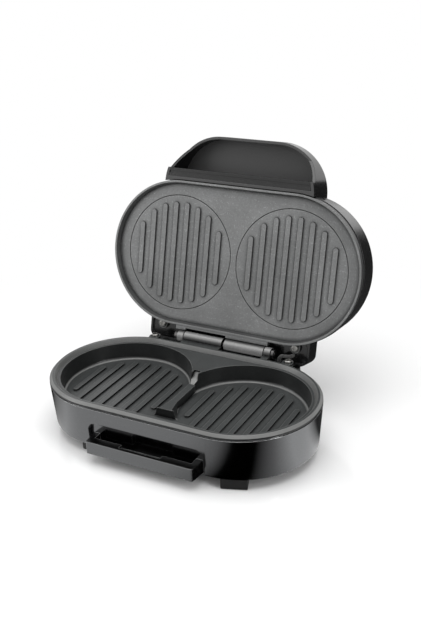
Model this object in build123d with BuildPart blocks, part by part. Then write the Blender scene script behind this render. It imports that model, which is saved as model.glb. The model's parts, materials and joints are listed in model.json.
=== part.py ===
from build123d import *
from math import atan2, cos, degrees, radians, sin, tan
import os

os.makedirs("parts", exist_ok=True)

# Electric burger maker, lid standing open. Millimetres, X to the right, Y to the back, Z up.
# The origin is the middle of the footprint box of the open machine, on the surface it stands on.
# Heights in the text are counted from the rim joint, where the lower plate sits on the base shell.

# Overall sizes
end_centre = 58.1          # from the middle to the centre of each round end
shell_radius = 69.2        # outer radius of the ends at the rim joint
shell_height = 38.6
shell_draft = 4.3
wall = 2.5
foot_height = 9.9
lid_height = 36.0          # lid cover, from its lower edge to its top
open_angle = 104.2

# Hinge
hinge_back = 79.2
hinge_height = 4.7         # the parting plane of the closed plates runs through the pin
barrel_radius = 5.5
pin_radius = 2.0
pin_clearance = 0.05
pin_head_radius = 4.4
pin_head = 3.0
pin_end = 0.6
clip_thickness = 2.5
barrel_gap = 2.5
knuckle_gap = 0.8
long_barrel = 40.5
short_barrel = 6.4
first_barrel = -40.2       # left end of the long barrel of the base

# General fits
seat_gap = 0.3             # between pieces that lie loosely in one another
thread_clearance = 0.05

# Lower plate
groove_height = 0.45       # each side of the rim joint
groove_depth = 1.2
plate_radius = 69.0
crest_height = 4.3
crest_radius = 66.7
crest_inner_radius = 64.6
shoulder_height = 2.0
shelf_height = 1.0
shelf_radius = 62.0
web_thickness = 3.2
well_radius = 59.5
well_floor = -15.4
well_floor_thickness = 2.6
well_draft = 5.0
well_wall = 2.0
well_fillet = 3.0
pocket_front = 59.0        # front wall of the pocket between the wells
ridge_top = -7.9           # low wall between the two wells
ridge_front = -30.5
ridge_half_width = 3.2
ridge_body = 9.6           # half width of the metal under the ridge
flare_top = 5.5            # half widths of the flared front end of the ridge
flare_bottom = 10.5
flare_length = 14.5
flare_room = 8.5
ramp_foot = 17.2
ramp_head = 28.5
ramp_rise = 7.3
arm_height = 4.0

# Ribs in the wells and on the lid plate
rib_count = 8
rib_pitch = 11.83
rib_width = 4.6
rib_height = 1.5
rib_circle = 48.4
ring_radius = 55.0
ring_width = 0.7
ring_depth = 0.5

# Upper plate
face_rise = 6.2            # plate face above the parting plane
rim_height = 6.5
rim_inner_radius = 67.2
rim_wall_run = 1.7         # how far the inner side of the rim leans in
upper_plate_thickness = 3.0
tongue_gap = 0.2
tongue_clearance = 0.7
tongue_notch = 2.0
tongue_left = -52.0
tongue_right = 45.0

# Lid cover
cover_edge = 12.0          # lower edge of the lid cover
cover_radius = 69.6
cover_wall = 2.2
cover_draft = 4.3
cover_top_fillet = 6.0
hump_floor = 2.0

# Screws
lug_beside = 11.9          # from an end centre to the screw lug beside it
lug_back = 71.5
lug_radius = 4.9
lug_reach = 2.5
lug_thickness = 3.0
screw_radius = 1.5
head_radius = 3.3
head_height = 2.0
head_fillet = 0.9
recess_width = 0.9
recess_length = 3.8
recess_depth = 1.2
screw_reach = 9.0          # thread in a deep hole
hole_end = 1.0             # what a deep hole has left beyond its screw

# Hinge housings behind the shells
housing_beside = 10.0      # from a lug to the side of the base housing
housing_root = 50.0
housing_back = 83.7
housing_corner = 9.0
hump_beside = 14.0         # from a lug to the side of the hump
hump_back = 88.0
hump_height = 22.0
hump_corner = 9.0
hump_fillet = 4.0

# Front grip
grip_front = 79.4
grip_rise = 1.0            # underside of the grip above the underside of the shell
grip_height = 11.6
grip_back = 61.3
grip_wall = 2.0
grip_corner = 2.0
grip_side_across = 53.5
grip_corner_across = 51.6
grip_edge_fillet = 0.8
finger_half_width = 47.0
finger_depth = 9.2
finger_front = 71.5
finger_notch_front = 76.4
finger_notch_half_width = 20.0
recess_half_width = 56.0
recess_top = -14.4
recess_corner = 8.0
recess_wall = 2.0
tab_inner = 44.0
tab_height = 12.0
tab_rise = 2.6             # above the underside of the grip
grip_screw_across = 50.2
grip_screw_rise = 8.1

# Bottom cover, feet and inner posts
shell_bottom_fillet = 1.5
bottom_thickness = 2.0
foot_circle = 60.0         # radius of the right front foot about its end centre
foot_turn = 19.5
left_foot_across = -61.0   # screw of the left front foot, which reaches in behind the grip
left_foot_back = -57.0
left_foot_shift = 4.75     # from that screw to the middle of its foot
rear_foot_across = 65.0
rear_foot_inset = 7.0      # from the back of the housing
foot_length = 22.5
foot_width = 11.0
foot_fillet = 2.5
foot_head_depth = 5.0
foot_post = 8.0
foot_screw_reach = 6.0
lug_post = 23.0
vent_count = 7
vent_pitch = 9.0
vent_length = 34.0
vent_width = 3.0

# Cord gland, terminals and wires
gland_across = -40.0
gland_rise = 12.6          # above the underside of the shell
gland_radius = 5.9
gland_flange = 8.0
gland_flange_thickness = 2.5
gland_bore = 3.6
gland_length = 7.0
gland_fillet = 1.0
block_length = 26.0
block_width = 14.0
block_height = 12.0
block_back = 66.0
block_chamfer = 1.0
wire_radius = 0.8
wire_bend = 3.0
wire_pitch = 4.0
sleeve_across = 58.0       # where the wires to the lid leave the base
sleeve_radius = 1.7
sleeve_bend = 4.4
sleeve_rise = 6.6          # above the underside of the shell
sleeve_split = 62.8        # where the base half of the sleeve ends, on the hinge line
lid_sleeve_across = 68.0
lid_sleeve_top = 22.0

# Lid handle
hood_front = 112.3
hood_half_width = 75.5
hood_corner = 46.0
hood_top = 42.0
hood_wall = 2.6
hood_edge = 25.0
cheek_bottom = 5.0
cheek_front = 80.5
cheek_slope_front = 98.0   # where the sloping edge of each cheek meets the edge of the hood
bar_depth = 7.7
bar_height = 5.0
bar_groove = 1.2
bar_groove_width = 2.0
flange_front = 72.6        # front face of the wall that the handle is screwed on with
hood_fillet = 3.0
handle_screw_across = 30.0
handle_screw_height = 30.0
screw_seat_depth = 1.5
handle_skin = 0.6

# Lamps under the top of the lid
lamp_spacing = 18.0
lamp_front = -45.0
lens_radius = 2.4
lens_flange = 3.6
lens_stand = 0.5
board_length = 46.0
board_width = 12.0
board_thickness = 1.2
board_gap = 3.0

# Thermostat and fuse under the lower plate
thermostat_radius = 8.0
thermostat_height = 6.5
thermostat_chamfer = 1.0
fuse_radius = 2.0
fuse_length = 16.0
fuse_back = -16.0

# Heating elements, their clamps and the trays behind them, counted from the back of a plate
element_radius = 3.2
element_loop = 36.0        # from the middle line to the straight runs of the tube
element_corner = 34.0
element_gap = 16.0         # half the opening between the two ends of the loop
element_end = 50.0         # from the middle line to the ends of the tube
tail_bend_share = 4 / 7    # of the length of the bent tails
terminal_radius = 1.4
terminal_length = 8.0
clamp_width = 12.0
clamp_thickness = 1.2
clamp_across = 42.0
clamp_foot = 10.0
pad_radius = 4.0
pad_height = 3.0
post_height = 8.8
reflector_radius = 54.0
reflector_thickness = 0.8
reflector_depth = 6.5

# Places that follow from neighbouring pieces
lug_spacing = end_centre + lug_beside
housing_half_width = lug_spacing + housing_beside
housing_drop = barrel_radius - hinge_height + knuckle_gap   # its deck lies below the barrels
hump_half_width = lug_spacing + hump_beside
tongue_back = hinge_back - barrel_radius - tongue_clearance
tongue_notch_back = tongue_back - tongue_notch
grip_bottom = grip_rise - shell_height
grip_top = grip_bottom + grip_height
tab_bottom = grip_bottom + tab_rise
tab_top = tab_bottom + tab_height
grip_screw_height = grip_bottom + grip_screw_rise
gland_height = gland_rise - shell_height
sleeve_height = sleeve_rise - shell_height
screw_depth = screw_reach + hole_end
foot_hole = foot_screw_reach + hole_end
element_tail = element_end - element_loop
tail_bend = tail_bend_share * element_tail

# Middle of the footprint box and height of the rim joint above the surface
stand_height = shell_height + foot_height
lean = radians(open_angle)
hood_reach = hinge_back + hood_front - hood_fillet
hood_rise = hood_top - hinge_height - hood_fillet
handle_tip_back = hinge_back - hood_reach * cos(lean) + hood_rise * sin(lean) + hood_fillet
footprint_middle = (handle_tip_back - grip_front) / 2

base = Plane(origin=(0, -footprint_middle, stand_height))
lid_origin_back = hinge_back - hinge_back * cos(lean) - hinge_height * sin(lean)
lid_origin_height = hinge_height + hinge_back * sin(lean) - hinge_height * cos(lean)
lid = Plane(
    origin=base.from_local_coords((0, lid_origin_back, lid_origin_height)),
    x_dir=(1, 0, 0),
    z_dir=(0, sin(lean), cos(lean)),
)

# Heights and places that follow from the sizes above
cover_plate_top = -shell_height + bottom_thickness
plate_back = well_floor - well_floor_thickness
face_height = hinge_height + face_rise
rim_top = hinge_height + rim_height
lid_plate_back = face_height + upper_plate_thickness
hump_floor_height = lid_plate_back + hump_floor
ceiling = cover_edge + lid_height - cover_wall
lid_barrel = first_barrel + long_barrel + barrel_gap
lid_short_barrel = first_barrel - knuckle_gap - short_barrel
base_short_barrel = lid_barrel + long_barrel + knuckle_gap
right_foot = (
    end_centre + foot_circle * sin(radians(foot_turn)),
    -foot_circle * cos(radians(foot_turn)),
)
left_foot = (left_foot_across, left_foot_back)
rear_feet = [(side * rear_foot_across, housing_back - rear_foot_inset) for side in (-1, 1)]
foot_centres = [left_foot, right_foot, *rear_feet]
lug_places = [(side * lug_spacing, lug_back) for side in (-1, 1)]


def side_of(frame, across=0.0):
    """Plane of a side view, seen from the right, at a distance across from the middle."""
    return Plane(origin=frame.from_local_coords((across, 0, 0)), x_dir=frame.y_dir, z_dir=frame.x_dir)


def front_of(frame, back=0.0):
    """Plane of a front view at a distance back from the middle."""
    return Plane(origin=frame.from_local_coords((0, back, 0)), x_dir=frame.x_dir, z_dir=-frame.y_dir)


def below(frame, height):
    """Plane at a height that looks down, with X still to the right."""
    origin = frame.from_local_coords((0, 0, height))
    return Plane(origin=origin, x_dir=frame.x_dir, z_dir=-frame.z_dir)


def stadium(radius, mode=Mode.ADD):
    """Two round ends on the end centres, joined by straight sides."""
    return SlotCenterToCenter(2 * end_centre, 2 * radius, mode=mode)


def shell_radius_at(height):
    return shell_radius + height * tan(radians(shell_draft))


def cover_radius_at(height):
    return cover_radius - (height - cover_edge) * tan(radians(cover_draft))


def spot(frame, across, back, height, facing):
    """Plane at a point of a frame that faces a given way."""
    return Plane(origin=frame.from_local_coords((across, back, height)), x_dir=frame.x_dir, z_dir=facing)


def knuckle(frame, start, arm_from, arm_low, arm_high):
    """Side profile of a hinge barrel with the arm that joins it to its plate."""
    with BuildSketch(side_of(frame, start)) as profile:
        with Locations((hinge_back, hinge_height)):
            Circle(barrel_radius)
        with Locations((arm_from, arm_low)):
            Rectangle(hinge_back - arm_from, arm_high - arm_low, align=(Align.MIN, Align.MIN))
    return profile.sketch


def barrel_bore(frame, start):
    with BuildSketch(side_of(frame, start)) as hole:
        with Locations((hinge_back, hinge_height)):
            Circle(pin_radius + pin_clearance)
    return hole.sketch


def lugs(frame, height):
    """Outline of both screw lugs at the back of a plate."""
    with BuildSketch(frame.offset(height)) as outline:
        for side in (-1, 1):
            with Locations((side * lug_spacing, lug_back - lug_reach / 2)):
                SlotCenterToCenter(lug_reach, 2 * lug_radius, rotation=90)
    return outline.sketch


def circles(plane, places, radius):
    with BuildSketch(plane) as outline:
        with Locations(*places):
            Circle(radius)
    return outline.sketch


def box_outline(plane, left, right, near, far, corner=0.0):
    """Rectangle between two X and two Y values of a plane."""
    with BuildSketch(plane) as outline:
        with Locations(((left + right) / 2, (near + far) / 2)):
            if corner > 0:
                RectangleRounded(right - left, far - near, corner)
            else:
                Rectangle(right - left, far - near)
    return outline.sketch


def pan_head_screw(seat, length, head=head_radius, shank=screw_radius):
    """Cross-recess screw. Its head stands on the seat plane and its shank goes down from it."""
    with BuildPart() as screw:
        with BuildSketch(seat):
            Circle(head)
        extrude(amount=head_height)
        crown = screw.faces().sort_by(Axis(seat.origin, seat.z_dir))[-1]
        fillet(crown.edges(), head_fillet)
        with BuildSketch(seat):
            Circle(shank)
        extrude(amount=-length)
        with BuildSketch(seat.offset(head_height)):
            Rectangle(recess_length, recess_width)
            Rectangle(recess_width, recess_length)
        extrude(amount=-recess_depth, mode=Mode.SUBTRACT)
    return screw.part


def clamp_places():
    """Feet of the four clamps on the back of a plate."""
    foot = element_loop + element_radius + clamp_foot / 2 + clamp_thickness
    return [(across, along * foot) for across in (-clamp_across, clamp_across) for along in (-1, 1)]


def post_places():
    return [(-end_centre, 0), (end_centre, 0)]


def heating_element(back_plane, rear):
    """Bent tube heater that lies along both wells. rear is the sign of the local Y of the back."""
    level = back_plane.offset(seat_gap + element_radius)
    tail_end = rear * (element_loop + element_tail)
    loop = rear * element_loop
    reach = end_centre + element_loop
    with BuildPart() as element:
        with BuildLine(level) as path:
            FilletPolyline(
                (element_gap, tail_end),
                (element_gap, loop),
                (reach, loop),
                (reach, -loop),
                (-reach, -loop),
                (-reach, loop),
                (-element_gap, loop),
                (-element_gap, tail_end),
                radius=[tail_bend] + 4 * [element_corner] + [tail_bend],
            )
        with BuildSketch(Plane(origin=path.line @ 0, z_dir=path.line % 0)):
            Circle(element_radius)
        sweep()
        for end, outward in ((path.line @ 0, -(path.line % 0)), (path.line @ 1, path.line % 1)):
            with BuildSketch(Plane(origin=end, z_dir=outward)):
                Circle(terminal_radius)
            extrude(amount=terminal_length)
    return element.part


def element_clamp(back_plane, across):
    """Bent strap over the tube, with a foot on its pad and its other leg down beside the tube."""
    crown = seat_gap + 2 * element_radius + seat_gap
    inner = element_radius + seat_gap
    outer = inner + clamp_thickness
    with BuildPart() as clamp:
        with BuildSketch(side_of(back_plane, across - clamp_width / 2)):
            with BuildLine():
                Polyline(
                    (element_loop + outer + clamp_foot, pad_height),
                    (element_loop + inner, pad_height),
                    (element_loop + inner, crown),
                    (element_loop - inner, crown),
                    (element_loop - inner, seat_gap),
                    (element_loop - outer, seat_gap),
                    (element_loop - outer, crown + clamp_thickness),
                    (element_loop + outer, crown + clamp_thickness),
                    (element_loop + outer, pad_height + clamp_thickness),
                    (element_loop + outer + clamp_foot, pad_height + clamp_thickness),
                    close=True,
                )
            make_face()
        extrude(amount=clamp_width)
        foot = element_loop + element_radius + clamp_foot / 2 + clamp_thickness
        extrude(
            circles(back_plane, [(across, foot)], screw_radius + thread_clearance),
            amount=2 * crown,
            mode=Mode.SUBTRACT,
        )
    return clamp.part


def element_clamps(back_plane):
    turned = Plane(origin=back_plane.origin, x_dir=-back_plane.x_dir, z_dir=back_plane.z_dir)
    return [element_clamp(plane, across) for plane in (back_plane, turned)
            for across in (-clamp_across, clamp_across)]


def clamp_screws(back_plane):
    height = pad_height + clamp_thickness
    return [pan_head_screw(spot(back_plane, across, along, height, back_plane.z_dir), pad_height)
            for across, along in clamp_places()]


def reflector(back_plane, rear):
    """Shallow pressed tray behind the heater, hung on the two middle posts of the plate."""
    floor = back_plane.offset(post_height + reflector_thickness)
    with BuildPart() as tray:
        with BuildSketch(floor):
            stadium(reflector_radius)
        extrude(amount=-reflector_depth)
        with BuildSketch(floor.offset(-reflector_thickness)):
            stadium(reflector_radius - reflector_thickness)
        extrude(amount=-reflector_depth, mode=Mode.SUBTRACT)
        extrude(
            circles(floor, post_places(), screw_radius + thread_clearance),
            amount=-2 * reflector_thickness,
            mode=Mode.SUBTRACT,
        )
        # The rim is cut away at the back, where the ends of the heater leave the tray
        opening = element_gap + 2 * element_radius
        with BuildSketch(floor.offset(-reflector_thickness)):
            with Locations((0, rear * reflector_radius)):
                Rectangle(2 * opening, 4 * element_radius)
        extrude(amount=-reflector_depth, mode=Mode.SUBTRACT)
    return tray.part


def reflector_screws(back_plane):
    height = post_height + reflector_thickness
    reach = post_height - hole_end
    return [pan_head_screw(spot(back_plane, across, along, height, back_plane.z_dir), reach)
            for across, along in post_places()]


def grill_ribs(plane):
    """Eight straight ribs with round ends in each round end, cut off by a circle."""
    with BuildSketch(plane) as ribs:
        for side in (-1, 1):
            for index in range(rib_count):
                offset = (index - (rib_count - 1) / 2) * rib_pitch
                half_length = (rib_circle ** 2 - offset ** 2) ** 0.5
                with Locations((side * end_centre + offset, 0)):
                    SlotOverall(2 * half_length, rib_width, rotation=90)
    return ribs.sketch


def tube(frame, points, bend, radius):
    """Round wire or sleeve along points of a frame, with bends of one radius."""
    with BuildPart() as run:
        with BuildLine(frame) as path:
            FilletPolyline(*points, radius=bend)
        with BuildSketch(Plane(origin=path.line @ 0, z_dir=path.line % 0)):
            Circle(radius)
        sweep()
    return run.part


# Base shell: drafted stadium with a housing behind it for the wires and the hinge
with BuildPart() as base_cavity:
    with BuildSketch(base):
        stadium(shell_radius - wall)
    extrude(amount=-shell_height, taper=shell_draft)
    housing_room = housing_half_width - wall
    extrude(
        box_outline(base.offset(-housing_drop - wall), -housing_room, housing_room,
                    housing_root + wall, housing_back - wall, housing_corner - wall),
        amount=housing_drop + wall - shell_height,
    )
    pocket_half = recess_half_width + recess_wall
    extrude(
        box_outline(base.offset(recess_top + recess_wall), -pocket_half, pocket_half,
                    -shell_radius, -grip_back),
        amount=-shell_height,
        mode=Mode.SUBTRACT,
    )

with BuildPart() as base_shell:
    with BuildSketch(base):
        stadium(shell_radius)
    extrude(amount=-shell_height, taper=shell_draft)
    extrude(
        box_outline(base.offset(-housing_drop), -housing_half_width, housing_half_width,
                    housing_root, housing_back, housing_corner),
        amount=housing_drop - shell_height,
    )
    fillet(base_shell.edges().group_by(Axis.Z)[0], shell_bottom_fillet)
    add(base_cavity.part, mode=Mode.SUBTRACT)
    # Rebate that leaves a dark line under the plate
    with BuildSketch(base):
        stadium(shell_radius + groove_depth)
        stadium(shell_radius - groove_depth, mode=Mode.SUBTRACT)
    extrude(amount=-groove_height, mode=Mode.SUBTRACT)
    # Opening for the front grip, with round upper corners
    with BuildSketch(front_of(base, -grip_back + recess_wall)):
        with Locations((0, recess_top - shell_height / 2)):
            RectangleRounded(2 * recess_half_width, shell_height, recess_corner)
        with Locations((0, -shell_height)):
            Rectangle(2 * recess_half_width, 2 * recess_corner)
    extrude(amount=shell_radius - grip_back + 2 * recess_wall, mode=Mode.SUBTRACT)
    # Tabs behind the opening that take the grip screws
    for side in (-1, 1):
        inner, outer = sorted((side * tab_inner, side * pocket_half))
        extrude(
            box_outline(front_of(base, -grip_back), inner, outer, tab_bottom, tab_top),
            amount=-recess_wall,
        )
    grip_screw_places = [(side * grip_screw_across, grip_screw_height) for side in (-1, 1)]
    extrude(
        circles(front_of(base, -grip_back), grip_screw_places, screw_radius + seat_gap),
        amount=-recess_wall,
        mode=Mode.SUBTRACT,
    )
    # Posts under the screw lugs of the plate
    extrude(circles(base.offset(shelf_height), lug_places, lug_radius), amount=-lug_post)
    extrude(
        circles(base.offset(shelf_height), lug_places, screw_radius + thread_clearance),
        amount=-screw_depth,
        mode=Mode.SUBTRACT,
    )
    with BuildSketch(base):
        stadium(plate_radius + seat_gap)
    extrude(amount=crest_height, mode=Mode.SUBTRACT)
    # Posts that take the foot screws
    extrude(circles(base.offset(cover_plate_top), foot_centres, lug_radius), amount=foot_post)
    extrude(
        circles(base.offset(cover_plate_top), foot_centres, screw_radius + thread_clearance),
        amount=foot_hole,
        mode=Mode.SUBTRACT,
    )
    # Holes for the cord gland and for the wires that go up to the lid
    gland_centre = [(gland_across, gland_height)]
    extrude(
        circles(front_of(base, housing_back), gland_centre, gland_radius + thread_clearance),
        amount=wall,
        mode=Mode.SUBTRACT,
    )
    extrude(
        circles(base.offset(-housing_drop), [(sleeve_across, hinge_back)], sleeve_radius + seat_gap),
        amount=-wall,
        mode=Mode.SUBTRACT,
    )
base_shell.part.label = "base_shell"
export_step(base_shell.part, "parts/base_shell.step")

# Bottom cover, held between the feet and the posts
with BuildPart() as bottom_cover:
    cover_outer = shell_radius_at(-shell_height) - wall - seat_gap
    with BuildSketch(base.offset(-shell_height)):
        stadium(cover_outer)
    extrude(amount=bottom_thickness)
    housing_fit = housing_half_width - wall - seat_gap
    extrude(
        box_outline(base.offset(-shell_height), -housing_fit, housing_fit,
                    housing_root + wall, housing_back - wall - seat_gap, housing_corner - wall),
        amount=bottom_thickness,
    )
    # Cut out for the front grip
    notch = recess_half_width + recess_wall + seat_gap
    extrude(
        box_outline(base.offset(-shell_height), -notch, notch, -shell_radius, -grip_back + seat_gap),
        amount=bottom_thickness,
        mode=Mode.SUBTRACT,
    )
    extrude(
        circles(base.offset(-shell_height), foot_centres, screw_radius + seat_gap),
        amount=bottom_thickness,
        mode=Mode.SUBTRACT,
    )
    # Air slots under both wells
    with BuildSketch(base.offset(-shell_height)):
        for centre in post_places():
            with Locations(centre):
                with GridLocations(0, vent_pitch, 1, vent_count):
                    SlotOverall(vent_length, vent_width)
    extrude(amount=bottom_thickness, mode=Mode.SUBTRACT)
bottom_cover.part.label = "bottom_cover"
export_step(bottom_cover.part, "parts/bottom_cover.step")

# Feet: rubber blocks with a deep hole for the screw head
with BuildPart() as feet:
    with BuildSketch(base.offset(-shell_height)):
        with Locations(Location((*right_foot, 0), (0, 0, foot_turn))):
            Rectangle(foot_length, foot_width)
        with Locations((left_foot_across + left_foot_shift, left_foot_back), *rear_feet):
            Rectangle(foot_length, foot_width)
    extrude(amount=-foot_height)
    fillet(feet.edges().group_by(Axis.Z)[0], foot_fillet)
    extrude(
        circles(base.offset(-shell_height - foot_height), foot_centres, head_radius + seat_gap),
        amount=foot_head_depth,
        mode=Mode.SUBTRACT,
    )
    extrude(
        circles(base.offset(-shell_height), foot_centres, screw_radius + thread_clearance),
        amount=-foot_height,
        mode=Mode.SUBTRACT,
    )
feet.part.label = "feet"
export_step(feet.part, "parts/feet.step")

with BuildPart() as foot_screws:
    foot_seat = -shell_height - foot_height + foot_head_depth
    foot_screw_length = cover_plate_top - foot_seat + foot_screw_reach
    for across, along in foot_centres:
        add(pan_head_screw(spot(base, across, along, foot_seat, -base.z_dir), foot_screw_length))
foot_screws.part.label = "foot_screws"
export_step(foot_screws.part, "parts/foot_screws.step")


def round_well(place):
    """Room of one round well with its drafted wall and rounded floor edge."""
    with BuildPart() as room:
        extrude(
            circles(base.offset(shelf_height), [place], well_radius),
            amount=well_floor - shelf_height,
            taper=well_draft,
        )
        fillet(room.edges().group_by(Axis.Z)[0], well_fillet)
    return room.part


# Pocket that joins the two wells at the front
with BuildPart() as front_pocket:
    extrude(
        box_outline(base.offset(shelf_height), -end_centre, end_centre, -pocket_front, ridge_front),
        amount=well_floor - shelf_height,
        taper=well_draft,
    )
    floor_edges = front_pocket.edges().group_by(Axis.Z)[0]
    fillet(floor_edges.sort_by(Axis.Y)[0], well_fillet)

# Room of the wells, with the slot over the ridge
with BuildPart() as well_room:
    for place in post_places():
        add(round_well(place))
    add(front_pocket.part)
    with BuildSketch(side_of(base, -well_radius / 2)):
        with BuildLine():
            Polyline(
                (ridge_front - ridge_half_width, shelf_height),
                (ridge_front - ridge_half_width, ridge_top),
                (0, ridge_top),
                (0, shelf_height),
                close=True,
            )
        make_face()
    extrude(amount=well_radius)
    with BuildSketch(side_of(base, -ridge_half_width)):
        with BuildLine():
            Polyline(
                (ridge_front, shelf_height),
                (ridge_front, ridge_top),
                (ramp_foot, ridge_top),
                (ramp_head, ridge_top + ramp_rise),
                (ramp_head, shelf_height),
                close=True,
            )
        make_face()
    extrude(amount=2 * ridge_half_width)
    # Straight wall that keeps the two wells apart where their circles meet
    with BuildSketch(side_of(base, -ridge_half_width)):
        with BuildLine():
            Polyline(
                (ridge_front, well_floor),
                (ridge_front, ridge_top),
                (ramp_foot, ridge_top),
                (ramp_foot, well_floor),
                close=True,
            )
        make_face()
    extrude(amount=2 * ridge_half_width, mode=Mode.SUBTRACT)
    # Room round the flared front end of that wall
    extrude(
        box_outline(base.offset(well_floor), -flare_bottom, flare_bottom,
                    ridge_front, ridge_front + flare_room),
        amount=ridge_top - well_floor,
    )

# Lower plate: cast rim, two wells with ribs, screw lugs and its half of the hinge
with BuildPart() as lower_plate:
    with BuildSketch(base):
        stadium(plate_radius - groove_depth)
    extrude(amount=groove_height)
    with BuildSketch(base.offset(groove_height)):
        stadium(plate_radius)
    extrude(amount=shoulder_height - groove_height)
    with BuildSketch(base.offset(shoulder_height)):
        stadium(plate_radius)
    crest_rise = crest_height - shoulder_height
    extrude(amount=crest_rise, taper=degrees(atan2(plate_radius - crest_radius, crest_rise)))
    with BuildSketch(base):
        stadium(shell_radius - wall - seat_gap)
    extrude(amount=shelf_height - web_thickness)
    # Screw lugs and hinge barrels behind the rim
    extrude(lugs(base, shelf_height), amount=lug_thickness)
    extrude(knuckle(base, first_barrel, crest_inner_radius, 0, arm_height), amount=long_barrel)
    extrude(knuckle(base, base_short_barrel, crest_inner_radius, 0, arm_height), amount=short_barrel)
    # Walls and floors of the wells
    body_depth = shelf_height - plate_back
    for outline in (
        circles(base.offset(shelf_height), post_places()[:1], well_radius + well_wall),
        circles(base.offset(shelf_height), post_places()[1:], well_radius + well_wall),
        box_outline(base.offset(shelf_height), -end_centre, end_centre,
                    -pocket_front - well_wall, ridge_front + well_wall),
        box_outline(base.offset(shelf_height), -ridge_body, ridge_body,
                    ridge_front, ramp_head + well_wall),
    ):
        extrude(outline, amount=-body_depth, taper=well_draft)
    # Sloping inner side of the rim
    with BuildSketch(base.offset(crest_height)):
        stadium(crest_inner_radius)
    rim_depth = crest_height - shelf_height
    extrude(
        amount=-rim_depth,
        taper=degrees(atan2(crest_inner_radius - shelf_radius, rim_depth)),
        mode=Mode.SUBTRACT,
    )
    add(well_room.part, mode=Mode.SUBTRACT)
    # Flared front end of the wall between the wells
    with BuildSketch(front_of(base, ridge_front)):
        with BuildLine():
            Polyline(
                (-flare_bottom, well_floor),
                (-flare_top, ridge_top),
                (flare_top, ridge_top),
                (flare_bottom, well_floor),
                close=True,
            )
        make_face()
    with BuildSketch(front_of(base, ridge_front + flare_length)):
        with Locations((0, (well_floor + ridge_top) / 2)):
            Rectangle(2 * ridge_half_width, ridge_top - well_floor)
    loft()
    extrude(grill_ribs(base.offset(well_floor)), amount=rib_height)
    # Pads for the heater clamps and posts for the tray, on the back
    plate_underside = below(base, plate_back)
    extrude(circles(plate_underside, clamp_places(), pad_radius), amount=pad_height)
    extrude(circles(plate_underside, post_places(), pad_radius), amount=post_height)
    extrude(
        circles(plate_underside.offset(pad_height), clamp_places(), screw_radius + thread_clearance),
        amount=-pad_height,
        mode=Mode.SUBTRACT,
    )
    extrude(
        circles(plate_underside.offset(post_height), post_places(), screw_radius + thread_clearance),
        amount=-post_height,
        mode=Mode.SUBTRACT,
    )
    extrude(
        circles(base.offset(shelf_height), lug_places, screw_radius + seat_gap),
        amount=lug_thickness,
        mode=Mode.SUBTRACT,
    )
    extrude(barrel_bore(base, first_barrel), amount=long_barrel, mode=Mode.SUBTRACT)
    extrude(barrel_bore(base, base_short_barrel), amount=short_barrel, mode=Mode.SUBTRACT)
lower_plate.part.label = "lower_plate"
export_step(lower_plate.part, "parts/lower_plate.step")

with BuildPart() as lower_plate_screws:
    lug_top = shelf_height + lug_thickness
    for across, along in lug_places:
        add(pan_head_screw(spot(base, across, along, lug_top, base.z_dir), lug_thickness + screw_reach))
lower_plate_screws.part.label = "lower_plate_screws"
export_step(lower_plate_screws.part, "parts/lower_plate_screws.step")

# Front grip: black moulding that closes the opening of the shell and stands out below it
with BuildPart() as front_grip:
    panel_half = recess_half_width - seat_gap
    panel_top = recess_top - seat_gap
    with BuildSketch(front_of(base, -grip_back)) as panel:
        with Locations((0, (panel_top + grip_bottom) / 2)):
            Rectangle(2 * panel_half, panel_top - grip_bottom)
        fillet(panel.vertices().group_by(Axis.Y)[-1], recess_corner - seat_gap)
    extrude(amount=grip_wall)
    with BuildSketch(base.offset(grip_bottom)) as body:
        with BuildLine():
            Polyline(
                (-grip_side_across, -grip_back),
                (-grip_corner_across, -grip_front),
                (grip_corner_across, -grip_front),
                (grip_side_across, -grip_back),
                close=True,
            )
        make_face()
        fillet(body.vertices().group_by(Axis.Y)[0], grip_corner)
    extrude(amount=grip_top - grip_bottom)
    front_edges = front_grip.edges().filter_by_position(
        Axis.Z, stand_height + grip_top - seat_gap, stand_height + grip_top + seat_gap)
    fillet(front_edges.filter_by(Axis.X).sort_by(Axis.Y)[0], grip_edge_fillet)
    # Room for the fingers behind the lip, deeper in the middle
    pocket_top = box_outline(base.offset(grip_top), -finger_half_width, finger_half_width,
                             -finger_front, -grip_back - grip_wall)
    extrude(pocket_top, amount=-finger_depth, mode=Mode.SUBTRACT)
    notch_top = box_outline(base.offset(grip_top), -finger_notch_half_width,
                            finger_notch_half_width, -finger_notch_front, -finger_front)
    extrude(notch_top, amount=-finger_depth, mode=Mode.SUBTRACT)
    extrude(
        circles(front_of(base, -grip_back), grip_screw_places, screw_radius + thread_clearance),
        amount=screw_depth,
        mode=Mode.SUBTRACT,
    )
front_grip.part.label = "front_grip"
export_step(front_grip.part, "parts/front_grip.step")

with BuildPart() as grip_screws:
    tab_back = recess_wall - grip_back
    for across, height in grip_screw_places:
        add(pan_head_screw(spot(base, across, tab_back, height, base.y_dir), recess_wall + screw_reach))
grip_screws.part.label = "grip_screws"
export_step(grip_screws.part, "parts/grip_screws.step")

# Lower heater with its clamps, screws and tray
with BuildPart() as lower_element:
    add(heating_element(plate_underside, -1))
lower_element.part.label = "lower_element"
export_step(lower_element.part, "parts/lower_element.step")

with BuildPart() as lower_clamps:
    for clamp in element_clamps(plate_underside):
        add(clamp)
lower_clamps.part.label = "lower_clamps"
export_step(lower_clamps.part, "parts/lower_clamps.step")

with BuildPart() as lower_clamp_screws:
    for screw in clamp_screws(plate_underside):
        add(screw)
lower_clamp_screws.part.label = "lower_clamp_screws"
export_step(lower_clamp_screws.part, "parts/lower_clamp_screws.step")

with BuildPart() as lower_reflector:
    add(reflector(plate_underside, -1))
lower_reflector.part.label = "lower_reflector"
export_step(lower_reflector.part, "parts/lower_reflector.step")

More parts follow.
